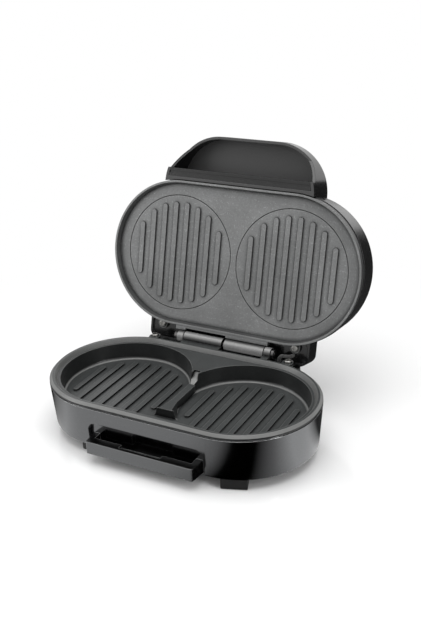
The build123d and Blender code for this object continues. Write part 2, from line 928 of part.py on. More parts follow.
with BuildPart() as lower_reflector_screws:
    for screw in reflector_screws(plate_underside):
        add(screw)
lower_reflector_screws.part.label = "lower_reflector_screws"
export_step(lower_reflector_screws.part, "parts/lower_reflector_screws.step")

# Thermostat under the middle of the plate, and a fuse in front of it
with BuildPart() as thermostat:
    extrude(circles(plate_underside, [(0, 0)], thermostat_radius), amount=thermostat_height)
    chamfer(thermostat.edges().group_by(Axis.Z)[0], thermostat_chamfer)
thermostat.part.label = "thermostat"
export_step(thermostat.part, "parts/thermostat.step")

with BuildPart() as thermal_fuse:
    with BuildSketch(side_of(base, -fuse_length / 2)):
        with Locations((fuse_back, plate_back - fuse_radius)):
            Circle(fuse_radius)
    extrude(amount=fuse_length)
thermal_fuse.part.label = "thermal_fuse"
export_step(thermal_fuse.part, "parts/thermal_fuse.step")

# Terminal block on the bottom cover
with BuildPart() as terminal_block:
    extrude(
        box_outline(base.offset(cover_plate_top), gland_across - block_length / 2,
                    gland_across + block_length / 2, block_back - block_width / 2,
                    block_back + block_width / 2),
        amount=block_height,
    )
    chamfer(terminal_block.edges().group_by(Axis.Z)[-1], block_chamfer)
terminal_block.part.label = "terminal_block"
export_step(terminal_block.part, "parts/terminal_block.step")

# Gland that would hold the cord
with BuildPart() as cord_gland:
    back_wall = front_of(base, housing_back)
    extrude(circles(back_wall, gland_centre, gland_radius), amount=gland_length)
    extrude(circles(back_wall, gland_centre, gland_flange), amount=-gland_flange_thickness)
    fillet(cord_gland.edges().sort_by(Axis.Y)[-1], gland_fillet)
    extrude(
        circles(back_wall, gland_centre, gland_bore),
        amount=gland_length + gland_flange_thickness,
        both=True,
        mode=Mode.SUBTRACT,
    )
cord_gland.part.label = "cord_gland"
export_step(cord_gland.part, "parts/cord_gland.step")

# Wires from the heater and the thermostat to the terminal block
with BuildPart() as base_wires:
    wire_height = plate_back - seat_gap - element_radius
    terminal_back = element_loop + element_tail + terminal_length
    block_top = cover_plate_top + block_height
    starts = ((-element_gap, terminal_back), (0, thermostat_radius), (element_gap, terminal_back))
    for row, (across, back) in enumerate(starts, start=-1):
        row_back = block_back + row * wire_pitch
        drop = gland_across - row * wire_pitch
        add(tube(base, [
            (across, back, wire_height),
            (across, row_back, wire_height),
            (drop, row_back, wire_height),
            (drop, row_back, block_top),
        ], wire_bend, wire_radius))
base_wires.part.label = "base_wires"
export_step(base_wires.part, "parts/base_wires.step")

# Sleeve with the wires to the lid, from the terminal block to the hinge line
with BuildPart() as base_sleeve:
    add(tube(base, [
        (gland_across + block_length / 2, block_back, sleeve_height),
        (sleeve_across, block_back, sleeve_height),
        (sleeve_across, hinge_back, sleeve_height),
        (sleeve_across, hinge_back, hinge_height),
        (sleeve_split, hinge_back, hinge_height),
    ], sleeve_bend, sleeve_radius))
base_sleeve.part.label = "base_sleeve"
export_step(base_sleeve.part, "parts/base_sleeve.step")

# Hinge pin with its head on the left and a clip on the right
pin_left = lid_short_barrel - knuckle_gap / 2
pin_right = base_short_barrel + short_barrel + seat_gap + clip_thickness + pin_end
with BuildPart() as hinge_pin:
    with BuildSketch(side_of(base, pin_left)):
        with Locations((hinge_back, hinge_height)):
            Circle(pin_radius)
    extrude(amount=pin_right - pin_left)
    with BuildSketch(side_of(base, pin_left)):
        with Locations((hinge_back, hinge_height)):
            Circle(pin_head_radius)
    extrude(amount=-pin_head)
hinge_pin.part.label = "hinge_pin"
export_step(hinge_pin.part, "parts/hinge_pin.step")

with BuildPart() as pin_clip:
    with BuildSketch(side_of(base, pin_right - pin_end - clip_thickness)):
        with Locations((hinge_back, hinge_height)):
            Circle(pin_head_radius)
            Circle(pin_radius + thread_clearance, mode=Mode.SUBTRACT)
    extrude(amount=clip_thickness)
pin_clip.part.label = "pin_clip"
export_step(pin_clip.part, "parts/pin_clip.step")

# Upper plate, drawn as if the lid were closed
with BuildPart() as upper_plate:
    with BuildSketch(lid.offset(hinge_height)):
        stadium(plate_radius)
    extrude(amount=rim_height)
    with BuildSketch(lid.offset(rim_top)):
        stadium(cover_radius - cover_wall - seat_gap)
    extrude(amount=lid_plate_back - rim_top)
    # Screw lugs, rear tongue and hinge barrels
    extrude(lugs(lid, face_height), amount=upper_plate_thickness)
    tongue_level = lid.offset(hinge_height + tongue_gap)
    extrude(
        box_outline(tongue_level, tongue_left, tongue_right, crest_radius, tongue_back),
        amount=rim_height - tongue_gap,
    )
    extrude(
        box_outline(tongue_level, first_barrel - barrel_gap / 2, lid_barrel - barrel_gap / 2,
                    tongue_notch_back, tongue_back),
        amount=rim_height - tongue_gap,
        mode=Mode.SUBTRACT,
    )
    arm_low = hinge_height + knuckle_gap
    arm_high = hinge_height + barrel_radius
    extrude(knuckle(lid, lid_barrel, crest_radius, arm_low, arm_high), amount=long_barrel)
    extrude(knuckle(lid, lid_short_barrel, crest_radius, arm_low, arm_high), amount=short_barrel)
    # Hollow of the rim, with the ribs and two engraved rings on its floor
    with BuildSketch(lid.offset(hinge_height)):
        stadium(rim_inner_radius)
    extrude(amount=face_rise, taper=degrees(atan2(rim_wall_run, face_rise)), mode=Mode.SUBTRACT)
    extrude(grill_ribs(lid.offset(face_height)), amount=-rib_height)
    with BuildSketch(lid.offset(face_height)):
        with Locations(*post_places()):
            Circle(ring_radius + ring_width / 2)
            Circle(ring_radius - ring_width / 2, mode=Mode.SUBTRACT)
    extrude(amount=ring_depth, mode=Mode.SUBTRACT)
    # Pads for the heater clamps and posts for the tray, on the back
    lid_underside = lid.offset(lid_plate_back)
    extrude(circles(lid_underside, clamp_places(), pad_radius), amount=pad_height)
    extrude(circles(lid_underside, post_places(), pad_radius), amount=post_height)
    extrude(
        circles(lid_underside.offset(pad_height), clamp_places(), screw_radius + thread_clearance),
        amount=-pad_height,
        mode=Mode.SUBTRACT,
    )
    extrude(
        circles(lid_underside.offset(post_height), post_places(), screw_radius + thread_clearance),
        amount=-post_height,
        mode=Mode.SUBTRACT,
    )
    extrude(
        circles(lid_underside, lug_places, screw_radius + seat_gap),
        amount=-upper_plate_thickness,
        mode=Mode.SUBTRACT,
    )
    extrude(barrel_bore(lid, lid_barrel), amount=long_barrel, mode=Mode.SUBTRACT)
    extrude(barrel_bore(lid, lid_short_barrel), amount=short_barrel, mode=Mode.SUBTRACT)
upper_plate.part.label = "upper_plate"
export_step(upper_plate.part, "parts/upper_plate.step")

with BuildPart() as upper_plate_screws:
    for across, along in lug_places:
        seat = spot(lid, across, along, face_height, -lid.z_dir)
        add(pan_head_screw(seat, upper_plate_thickness + screw_reach))
upper_plate_screws.part.label = "upper_plate_screws"
export_step(upper_plate_screws.part, "parts/upper_plate_screws.step")

# Lid cover: drafted stadium with a hump over the hinge
with BuildPart() as cover_cavity:
    with BuildSketch(lid.offset(cover_edge)):
        stadium(cover_radius - cover_wall)
    extrude(amount=ceiling - cover_edge, taper=cover_draft)
    hump_room = hump_half_width - cover_wall
    extrude(
        box_outline(lid.offset(hump_floor_height), -hump_room, hump_room, housing_root,
                    hump_back - cover_wall, hump_corner - cover_wall),
        amount=cover_edge + hump_height - cover_wall - hump_floor_height,
    )
    # Shallow room for the screw lugs below the floor of the hump
    extrude(
        box_outline(lid.offset(cover_edge), -hump_room, hump_room, crest_inner_radius,
                    hump_back - cover_wall, hump_corner - cover_wall),
        amount=lid_plate_back - cover_edge,
    )

with BuildPart() as lid_cover:
    with BuildSketch(lid.offset(cover_edge)):
        stadium(cover_radius)
    extrude(amount=lid_height, taper=cover_draft)
    fillet(lid_cover.edges().group_by(Axis(lid.origin, lid.z_dir))[-1], cover_top_fillet)
    extrude(
        box_outline(lid.offset(cover_edge), -hump_half_width, hump_half_width, housing_root,
                    hump_back, hump_corner),
        amount=hump_height,
    )
    hump_edges = lid_cover.edges().filter_by(
        lambda edge: abs(lid.to_local_coords(edge.center()).Z - cover_edge - hump_height) < seat_gap
        and lid.to_local_coords(edge.center()).Y > hump_back - hump_corner)
    fillet(hump_edges, hump_fillet)
    add(cover_cavity.part, mode=Mode.SUBTRACT)
    # Posts for the screws of the upper plate
    post_plane = lid.offset(lid_plate_back)
    post_length = cover_edge + hump_height - cover_wall - lid_plate_back
    extrude(circles(post_plane, lug_places, lug_radius), amount=post_length)
    extrude(
        circles(post_plane, lug_places, screw_radius + thread_clearance),
        amount=screw_depth,
        mode=Mode.SUBTRACT,
    )
    # Seats and holes for the handle screws
    handle_screw_places = [(side * handle_screw_across, handle_screw_height) for side in (-1, 1)]
    handle_seat = cover_wall + screw_seat_depth - cover_radius_at(handle_screw_height)
    extrude(
        circles(front_of(lid, handle_seat), handle_screw_places, lug_radius),
        amount=cover_wall,
    )
    extrude(
        circles(front_of(lid, handle_seat), handle_screw_places, screw_radius + thread_clearance),
        amount=cover_wall + 2 * screw_seat_depth,
        mode=Mode.SUBTRACT,
    )
    # Hole for the sleeve, and holes and posts for the lamps
    extrude(
        circles(lid.offset(lid_plate_back), [(lid_sleeve_across, hinge_back)], sleeve_radius + seat_gap),
        amount=hump_floor,
        mode=Mode.SUBTRACT,
    )
    lamp_places = [(side * lamp_spacing / 2, lamp_front) for side in (-1, 1)]
    extrude(
        circles(lid.offset(ceiling), lamp_places, lens_radius + thread_clearance),
        amount=cover_wall,
        mode=Mode.SUBTRACT,
    )
    board_screw_places = [(side * (board_length / 2 - head_radius), lamp_front) for side in (-1, 1)]
    extrude(circles(lid.offset(ceiling), board_screw_places, head_radius), amount=-board_gap)
    extrude(
        circles(lid.offset(ceiling - board_gap), board_screw_places, screw_radius + thread_clearance),
        amount=board_gap,
        mode=Mode.SUBTRACT,
    )
lid_cover.part.label = "lid_cover"
export_step(lid_cover.part, "parts/lid_cover.step")


def hood_outline(height, inset, back):
    """Plan of the handle, with large round front corners."""
    half_width = hood_half_width - inset
    front = hood_front - inset
    with BuildSketch(lid.offset(height)) as outline:
        with Locations((0, -front)):
            Rectangle(2 * half_width, front, align=(Align.CENTER, Align.MIN))
        fillet(outline.vertices().group_by(Axis.Y)[0], hood_corner - inset)
        with Locations((0, back)):
            Rectangle(2 * half_width, front, align=(Align.CENTER, Align.MIN), mode=Mode.SUBTRACT)
    return outline.sketch


# Space that the cover and the rim of the plate take, with a small gap round them
with BuildPart() as cover_space:
    with BuildSketch(lid):
        stadium(cover_radius + seat_gap)
    extrude(amount=cover_edge)
    with BuildSketch(lid.offset(cover_edge)):
        stadium(cover_radius + seat_gap)
    extrude(amount=2 * lid_height, taper=cover_draft)

# Lid handle: a wide hood in front of the lid, with cheeks that slope down to the bar
with BuildPart() as lid_handle:
    extrude(hood_outline(hood_edge, 0, -end_centre), amount=hood_top - hood_edge)
    top_edges = lid_handle.edges().group_by(Axis(lid.origin, lid.z_dir))[-1]
    fillet(top_edges, hood_fillet)
    extrude(hood_outline(cheek_bottom, 0, -end_centre), amount=hood_edge - cheek_bottom)
    with BuildSketch(side_of(lid, -hood_half_width)):
        with BuildLine():
            Polyline(
                (-hood_front, cheek_bottom),
                (-cheek_front, cheek_bottom),
                (-cheek_front, cheek_bottom + bar_height),
                (-cheek_slope_front, hood_edge),
                (-hood_front, hood_edge),
                close=True,
            )
        make_face()
    extrude(amount=2 * hood_half_width, mode=Mode.SUBTRACT)
    extrude(
        hood_outline(cheek_bottom, hood_wall, -flange_front),
        amount=hood_top - hood_wall - cheek_bottom,
        mode=Mode.SUBTRACT,
    )
    add(cover_space.part, mode=Mode.SUBTRACT)
    extrude(
        circles(front_of(lid, handle_seat), handle_screw_places, screw_radius + thread_clearance),
        amount=flange_front - handle_skin + handle_seat,
        mode=Mode.SUBTRACT,
    )
lid_handle.part.label = "lid_handle"
export_step(lid_handle.part, "parts/lid_handle.step")

with BuildPart() as handle_screws:
    for across, height in handle_screw_places:
        seat = spot(lid, across, handle_seat, height, lid.y_dir)
        add(pan_head_screw(seat, flange_front - 2 * handle_skin + handle_seat))
handle_screws.part.label = "handle_screws"
export_step(handle_screws.part, "parts/handle_screws.step")

# Bar across the handle, in front of the rim of the plate
with BuildPart() as handle_bar:
    bar_front = flange_front + bar_depth
    with BuildSketch(side_of(lid, -hood_half_width)):
        with Locations((-bar_front, cheek_bottom)):
            Rectangle(bar_depth, bar_height, align=(Align.MIN, Align.MIN))
        with Locations((-flange_front - bar_depth / 2, cheek_bottom)):
            Rectangle(bar_groove_width, 2 * bar_groove, mode=Mode.SUBTRACT)
    extrude(amount=2 * hood_half_width)
    extrude(
        hood_outline(cheek_bottom, hood_wall + seat_gap, -flange_front),
        amount=bar_height,
        mode=Mode.INTERSECT,
    )
handle_bar.part.label = "handle_bar"
export_step(handle_bar.part, "parts/handle_bar.step")

# Upper heater with its clamps, screws and tray
with BuildPart() as upper_element:
    add(heating_element(lid_underside, 1))
upper_element.part.label = "upper_element"
export_step(upper_element.part, "parts/upper_element.step")

with BuildPart() as upper_clamps:
    for clamp in element_clamps(lid_underside):
        add(clamp)
upper_clamps.part.label = "upper_clamps"
export_step(upper_clamps.part, "parts/upper_clamps.step")

with BuildPart() as upper_clamp_screws:
    for screw in clamp_screws(lid_underside):
        add(screw)
upper_clamp_screws.part.label = "upper_clamp_screws"
export_step(upper_clamp_screws.part, "parts/upper_clamp_screws.step")

with BuildPart() as upper_reflector:
    add(reflector(lid_underside, 1))
upper_reflector.part.label = "upper_reflector"
export_step(upper_reflector.part, "parts/upper_reflector.step")

with BuildPart() as upper_reflector_screws:
    for screw in reflector_screws(lid_underside):
        add(screw)
upper_reflector_screws.part.label = "upper_reflector_screws"
export_step(upper_reflector_screws.part, "parts/upper_reflector_screws.step")

# Lamps: two lenses in the top of the lid over a small board
with BuildPart() as indicator_lenses:
    extrude(circles(lid.offset(ceiling), lamp_places, lens_radius), amount=cover_wall + lens_stand)
    extrude(circles(lid.offset(ceiling), lamp_places, lens_flange), amount=-lens_stand)
indicator_lenses.part.label = "indicator_lenses"
export_step(indicator_lenses.part, "parts/indicator_lenses.step")

with BuildPart() as lamp_board:
    board_level = lid.offset(ceiling - board_gap)
    extrude(
        box_outline(board_level, -board_length / 2, board_length / 2,
                    lamp_front - board_width / 2, lamp_front + board_width / 2),
        amount=-board_thickness,
    )
    extrude(circles(board_level, lamp_places, lens_radius - seat_gap), amount=board_gap - 2 * lens_stand)
    extrude(
        circles(board_level, board_screw_places, screw_radius + thread_clearance),
        amount=-board_thickness,
        mode=Mode.SUBTRACT,
    )
lamp_board.part.label = "lamp_board"
export_step(lamp_board.part, "parts/lamp_board.step")

with BuildPart() as board_screws:
    for across, along in board_screw_places:
        seat = spot(lid, across, along, ceiling - board_gap - board_thickness, -lid.z_dir)
        add(pan_head_screw(seat, board_thickness + board_gap - lens_stand))
board_screws.part.label = "board_screws"
export_step(board_screws.part, "parts/board_screws.step")

# Lid half of the sleeve, from the hinge line up into the hump
with BuildPart() as lid_sleeve:
    add(tube(lid, [
        (sleeve_split + seat_gap, hinge_back, hinge_height),
        (lid_sleeve_across, hinge_back, hinge_height),
        (lid_sleeve_across, hinge_back, lid_sleeve_top),
    ], sleeve_bend, sleeve_radius))
lid_sleeve.part.label = "lid_sleeve"
export_step(lid_sleeve.part, "parts/lid_sleeve.step")

# Wires from the end of the sleeve to the upper heater
with BuildPart() as lid_wires:
    lid_wire_height = lid_plate_back + seat_gap + element_radius
    for side, row in ((1, 1), (-1, 2)):
        start = lid_sleeve_across - side * (wire_radius + thread_clearance)
        level = lid_sleeve_top + row * wire_pitch
        end = side * element_gap
        add(tube(lid, [
            (start, hinge_back, lid_sleeve_top),
            (start, hinge_back, level),
            (end, hinge_back, level),
            (end, terminal_back + wire_pitch, level),
            (end, terminal_back + wire_pitch, lid_wire_height),
            (end, terminal_back, lid_wire_height),
        ], wire_bend, wire_radius))
lid_wires.part.label = "lid_wires"
export_step(lid_wires.part, "parts/lid_wires.step")
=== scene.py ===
import json
from math import cos, radians, sin

import bmesh
import bpy
from mathutils import Matrix, Vector

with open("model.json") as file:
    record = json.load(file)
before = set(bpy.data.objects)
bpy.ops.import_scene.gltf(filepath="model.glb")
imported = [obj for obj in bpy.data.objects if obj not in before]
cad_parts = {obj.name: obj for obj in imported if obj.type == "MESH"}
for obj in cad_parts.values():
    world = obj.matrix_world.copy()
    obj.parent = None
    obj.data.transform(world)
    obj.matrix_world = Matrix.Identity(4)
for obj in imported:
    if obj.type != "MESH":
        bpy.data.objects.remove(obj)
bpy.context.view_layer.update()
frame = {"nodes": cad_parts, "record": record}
nodes = frame["nodes"]
print("frame loaded:", len(nodes), "pieces")

mm = 0.001
softSamples = 6                  # rays a point for rounded edges and crowded corners
waveShare = 0.5                  # over a size: a wave texture with crests 0.63 of that size apart
pureWhite = (1, 1, 1, 1)


# colours, nodes and materials

def linear(hexColour, shade=1.0):
    # sRGB hex to linear with full alpha; shade darkens or lightens it
    channels = [int(hexColour[i:i + 2], 16) / 255 for i in (1, 3, 5)]
    curve = [c / 12.92 if c <= 0.04045 else ((c + 0.055) / 1.055) ** 2.4 for c in channels]
    return [c * shade for c in curve] + [1.0]


def addNode(tree, kind, settings=None, inputs=None):
    # one node; an input is named or numbered, and gets a value or the output of another node
    node = tree.nodes.new(kind)
    for name, value in (settings or {}).items():
        setattr(node, name, value)
    for name, value in (inputs or {}).items():
        if isinstance(value, bpy.types.NodeSocket):
            tree.links.new(value, node.inputs[name])
        else:
            node.inputs[name].default_value = value
    return node


def newMaterial(name):
    # an empty material with its tree, and the place of each point in its piece's own frame
    material = bpy.data.materials.new(name)
    material.use_nodes = True
    tree = material.node_tree
    tree.nodes.clear()
    place = addNode(tree, "ShaderNodeTexCoord").outputs["Object"]
    return material, tree, place


def paint(material, *names):
    # the same finish on these nodes of the frame
    for name in names:
        mesh = nodes[name].data
        mesh.materials.clear()
        mesh.materials.append(material)


# plates: die-cast aluminium, sprayed with a speckled non-stick coating
# it gives the eye satin grey with light specks, painted highlights on edges and painted shade on flanks and
# in corners
castPlate = {
    "upperColour": "#777878",
    "lowerColour": "#3e4040",
    "barrelColour": "#7b7b7b",   # thinner coat on the barrels of the hinge
    "barrelReach": 5.8 * mm,
    "shade": 0.72,               # darkest blotches against the main colour
    "blotchSize": 45 * mm,
    "blotchRange": {"From Min": 0.3, "From Max": 0.65},
    "speckSize": 1.3 * mm,       # real specks are near 0.3 mm, drawn coarser so that they show
    "speckFade": {"From Min": 0.15, "From Max": 0.4},
    "speckChoice": {"From Min": 0.6, "From Max": 0.75},   # about one cell in four gets a speck
    "speckLight": 1.9,
    "grainSize": 0.8 * mm,
    "grainDepth": 0.05 * mm,
    "grainRange": {"From Min": 0.3, "From Max": 0.7},
    "grainShade": 0.22,
    "edge": 0.7 * mm,
    "edgeHighlightColour": "#b0b0ae",     # painted highlight: a light metal grey for edges that catch the light
    "edgeHighlightShow": 0.40,
    "sharpRange": {"From Min": 0.85, "From Max": 0.99},   # rounded normal against the true one
    "turnedRange": {"From Min": 0.88, "From Max": 0.99},  # rounded normal against the cooking face
    "creviceReach": 4.0 * mm,
    "creviceRange": {"From Min": 0.55, "From Max": 0.93},
    "creviceShade": 0.02,        # painted shade at the foot of each rib and in the rings, where shade falls
    "creviceSpecular": 0.1,
    "flankRange": {"From Min": 0.45, "From Max": 0.85},
    "flankShade": 0.30,          # painted shade on the steep sides of ribs and rims
    "roughLow": 0.24,
    "roughHigh": 0.36,
    "ior": 1.45,
    "specular": 0.5,
}


def sprayedColour(tree, place, colour, hingeLine):
    # the coat before the painted shade and highlights: cloudy blotches, and a thinner coat on the barrels
    p = castPlate
    # distance from the hinge line, without its X part
    away = addNode(tree, "ShaderNodeVectorMath", {"operation": "SUBTRACT"}, {0: place, 1: hingeLine})
    flat = addNode(tree, "ShaderNodeVectorMath", {"operation": "MULTIPLY"}, {
        0: away.outputs[0], 1: (0, 1, 1)})
    reach = addNode(tree, "ShaderNodeVectorMath", {"operation": "LENGTH"}, {0: flat.outputs[0]})
    onBarrel = addNode(tree, "ShaderNodeMath", {"operation": "LESS_THAN"}, {
        0: reach.outputs["Value"], 1: p["barrelReach"]})
    tint = addNode(tree, "ShaderNodeMix", {"data_type": "RGBA"}, {
        0: onBarrel.outputs[0], 6: linear(colour), 7: linear(p["barrelColour"])})
    blotches = addNode(tree, "ShaderNodeTexNoise", inputs={
        "Vector": place, "Scale": 1 / p["blotchSize"], "Detail": 5.0, "Roughness": 0.6})
    depth = addNode(tree, "ShaderNodeMapRange", inputs={
        "Value": blotches.outputs["Fac"], **p["blotchRange"], "To Min": p["shade"], "To Max": 1.0})
    return addNode(tree, "ShaderNodeVectorMath", {"operation": "SCALE"}, {
        0: tint.outputs[2], "Scale": depth.outputs["Result"]})


def speckGain(tree, place):
    # above 1 in the middle of the cells that get a speck
    p = castPlate
    cells = addNode(tree, "ShaderNodeTexVoronoi", inputs={"Vector": place, "Scale": 1 / p["speckSize"]})
    dot = addNode(tree, "ShaderNodeMapRange", inputs={
        "Value": cells.outputs["Distance"], **p["speckFade"], "To Min": 1.0, "To Max": 0.0})
    chosen = addNode(tree, "ShaderNodeMapRange", inputs={
        "Value": cells.outputs["Color"], **p["speckChoice"]})
    specks = addNode(tree, "ShaderNodeMath", {"operation": "MULTIPLY"}, {
        0: dot.outputs["Result"], 1: chosen.outputs["Result"]})
    return addNode(tree, "ShaderNodeMapRange", inputs={
        "Value": specks.outputs[0], "To Min": 1.0, "To Max": p["speckLight"]})


def shadeAndHighlightShares(tree, outward, rounded):
    # from 0 to 1, steering the painted shade and highlights: how level a point is with the cooking face, how
    # open, and how near an edge
    p = castPlate
    level = addNode(tree, "ShaderNodeVectorMath", {"operation": "DOT_PRODUCT"}, {
        0: rounded.outputs["Normal"], 1: outward})
    levelShare = addNode(tree, "ShaderNodeMapRange", inputs={
        "Value": level.outputs["Value"], **p["flankRange"]})
    crowded = addNode(tree, "ShaderNodeAmbientOcclusion", {"samples": softSamples}, {
        "Distance": p["creviceReach"]})
    openShare = addNode(tree, "ShaderNodeMapRange", inputs={
        "Value": crowded.outputs["AO"], **p["creviceRange"]})
    # edges: where the rounded normal leaves the true one, or a rounded face turns away
    trueNormal = addNode(tree, "ShaderNodeNewGeometry")
    bend = addNode(tree, "ShaderNodeVectorMath", {"operation": "DOT_PRODUCT"}, {
        0: rounded.outputs["Normal"], 1: trueNormal.outputs["Normal"]})
    sharp = addNode(tree, "ShaderNodeMapRange", inputs={
        "Value": bend.outputs["Value"], **p["sharpRange"], "To Min": 1.0, "To Max": 0.0})
    turned = addNode(tree, "ShaderNodeMapRange", inputs={
        "Value": level.outputs["Value"], **p["turnedRange"], "To Min": 1.0, "To Max": 0.0})
    edgeShare = addNode(tree, "ShaderNodeMath", {"operation": "MAXIMUM"}, {
        0: sharp.outputs["Result"], 1: turned.outputs["Result"]})
    return levelShare.outputs["Result"], openShare.outputs["Result"], edgeShare.outputs[0]


def nonStickCoating(name, colour, outward, hingeLine):
    # outward is the way the cooking face looks
    p = castPlate
    material, tree, place = newMaterial(name)
    sprayed = sprayedColour(tree, place, colour, hingeLine)
    grain = addNode(tree, "ShaderNodeTexNoise", inputs={
        "Vector": place, "Scale": 1 / p["grainSize"], "Detail": 2.0, "Roughness": 0.7})
    rounded = addNode(tree, "ShaderNodeBevel", {"samples": softSamples}, {"Radius": p["edge"]})
    levelShare, openShare, edgeShare = shadeAndHighlightShares(tree, outward, rounded)
    # painted shade: darker on steep flanks and in crowded corners, as shade falls there
    flankGain = addNode(tree, "ShaderNodeMapRange", inputs={
        "Value": levelShare, "To Min": p["flankShade"], "To Max": 1.0})
    creviceGain = addNode(tree, "ShaderNodeMapRange", inputs={
        "Value": openShare, "To Min": p["creviceShade"], "To Max": 1.0})
    grainGain = addNode(tree, "ShaderNodeMapRange", inputs={
        "Value": grain.outputs["Fac"], **p["grainRange"],
        "To Min": 1 - p["grainShade"], "To Max": 1 + p["grainShade"]})
    gain = speckGain(tree, place).outputs["Result"]
    for share in (flankGain, creviceGain, grainGain):
        product = addNode(tree, "ShaderNodeMath", {"operation": "MULTIPLY"}, {
            0: gain, 1: share.outputs["Result"]})
        gain = product.outputs[0]
    speckledAndShaded = addNode(tree, "ShaderNodeVectorMath", {"operation": "SCALE"}, {
        0: sprayed.outputs[0], "Scale": gain})
    # painted highlight: a light grey mixed in on edges that are open and level
    edgeHighlight = edgeShare
    for share in (openShare, levelShare, p["edgeHighlightShow"]):
        product = addNode(tree, "ShaderNodeMath", {"operation": "MULTIPLY"}, {0: edgeHighlight, 1: share})
        edgeHighlight = product.outputs[0]
    coat = addNode(tree, "ShaderNodeMix", {"data_type": "RGBA"}, {
        0: edgeHighlight, 6: speckledAndShaded.outputs[0], 7: linear(p["edgeHighlightColour"])})
    # painted shade in the gloss too: less specular in crowded corners
    specular = addNode(tree, "ShaderNodeMapRange", inputs={
        "Value": openShare, "To Min": p["creviceSpecular"], "To Max": p["specular"]})
    gloss = addNode(tree, "ShaderNodeMapRange", inputs={
        "Value": grain.outputs["Fac"], "To Min": p["roughLow"], "To Max": p["roughHigh"]})
    bump = addNode(tree, "ShaderNodeBump", inputs={
        "Height": grain.outputs["Fac"], "Distance": p["grainDepth"], "Normal": rounded.outputs["Normal"]})
    surface = addNode(tree, "ShaderNodeBsdfPrincipled", inputs={
        "Base Color": coat.outputs[2], "Roughness": gloss.outputs["Result"], "IOR": p["ior"],
        "Specular IOR Level": specular.outputs["Result"], "Normal": bump.outputs["Normal"]})
    addNode(tree, "ShaderNodeOutputMaterial", inputs={"Surface": surface.outputs["BSDF"]})
    return material


hinge = frame["record"]["behaviour"]["joints"][0]
openAngle = radians(hinge["range_deg"][1])
plateFront = (0, -sin(openAngle), -cos(openAngle))   # the way the lid plate looks at rest
upward = (0, 0, 1)
upperCoat = nonStickCoating("nonStickCoating.upper", castPlate["upperColour"], plateFront, hinge["pos_m"])
lowerCoat = nonStickCoating("nonStickCoating.lower", castPlate["lowerColour"], upward, hinge["pos_m"])
paint(upperCoat, "upper_plate")
paint(lowerCoat, "lower_plate")
print("plates coated")


# shell and grip: black ABS with a metal-effect lacquer, on the grip only on the face to the front
# it gives the eye a dark mirror: black where the painted reflection is dark, soft grey bands where it is
# light, and a painted highlight on sharp edges
lacquer = {
    "colour": "#7d7e7f",
    "flake": "#868789",
    "bare": "#070707",           # moulding with no lacquer
    "flakeSize": 0.5 * mm,       # real flakes are finer, drawn so that they just show
    "flakeRange": {"From Min": 0.45, "From Max": 0.75},
    "frontRange": {"From Min": 0.6, "From Max": 0.9},     # normal against the way to the front
    "peelSize": 6 * mm,
    "peelDepth": 0.006 * mm,
    "roughLow": 0.12,
    "roughHigh": 0.18,
    "edge": 0.6 * mm,
    "edgeHighlightColour": "#c4c4c4",     # painted highlight: light caught on the sharp edges
    "edgeRange": {"From Min": 0.8, "From Max": 0.99},     # rounded normal against the true one
    "edgeHighlightShow": 0.4,
}


def blackLacquer(name, frontOnly):
    # frontOnly is 1 where just the face to the front is lacquered, or 0
    p = lacquer
    material, tree, place = newMaterial(name)
    flakes = addNode(tree, "ShaderNodeTexNoise", inputs={
        "Vector": place, "Scale": 1 / p["flakeSize"], "Detail": 1.0, "Roughness": 0.6})
    peel = addNode(tree, "ShaderNodeTexNoise", inputs={
        "Vector": place, "Scale": 1 / p["peelSize"], "Detail": 1.0})
    share = addNode(tree, "ShaderNodeMapRange", inputs={
        "Value": flakes.outputs["Fac"], **p["flakeRange"]})
    coat = addNode(tree, "ShaderNodeMix", {"data_type": "RGBA"}, {
        0: share.outputs["Result"], 6: linear(p["colour"]), 7: linear(p["flake"])})
    facing = addNode(tree, "ShaderNodeVectorMath", {"operation": "DOT_PRODUCT"}, {
        0: addNode(tree, "ShaderNodeTexCoord").outputs["Normal"], 1: (0, -1, 0)})
    coated = addNode(tree, "ShaderNodeMapRange", inputs={
        "Value": facing.outputs["Value"], **p["frontRange"], "To Min": 1 - frontOnly})
    colour = addNode(tree, "ShaderNodeMix", {"data_type": "RGBA"}, {
        0: coated.outputs["Result"], 6: linear(p["bare"]), 7: coat.outputs[2]})
    gloss = addNode(tree, "ShaderNodeMapRange", inputs={
        "Value": peel.outputs["Fac"], "To Min": p["roughLow"], "To Max": p["roughHigh"]})
    rounded = addNode(tree, "ShaderNodeBevel", {"samples": softSamples}, {"Radius": p["edge"]})
    bump = addNode(tree, "ShaderNodeBump", inputs={
        "Height": peel.outputs["Fac"], "Distance": p["peelDepth"], "Normal": rounded.outputs["Normal"]})
    # painted highlight: a light grey mixed in on sharp edges
    trueNormal = addNode(tree, "ShaderNodeNewGeometry")
    bend = addNode(tree, "ShaderNodeVectorMath", {"operation": "DOT_PRODUCT"}, {
        0: rounded.outputs["Normal"], 1: trueNormal.outputs["Normal"]})
    edgeShare = addNode(tree, "ShaderNodeMapRange", inputs={
        "Value": bend.outputs["Value"], **p["edgeRange"], "To Min": p["edgeHighlightShow"], "To Max": 0.0})
    finish = addNode(tree, "ShaderNodeMix", {"data_type": "RGBA"}, {
        0: edgeShare.outputs["Result"], 6: colour.outputs[2], 7: linear(p["edgeHighlightColour"])})
    surface = addNode(tree, "ShaderNodeBsdfPrincipled", inputs={
        "Base Color": finish.outputs[2], "Metallic": coated.outputs["Result"],
        "Roughness": gloss.outputs["Result"], "Normal": bump.outputs["Normal"]})
    addNode(tree, "ShaderNodeOutputMaterial", inputs={"Surface": surface.outputs["BSDF"]})
    return material


paint(blackLacquer("blackLacquer.shell", 0.0), "base_shell")
paint(blackLacquer("blackLacquer.grip", 1.0), "front_grip")
print("shell lacquered")


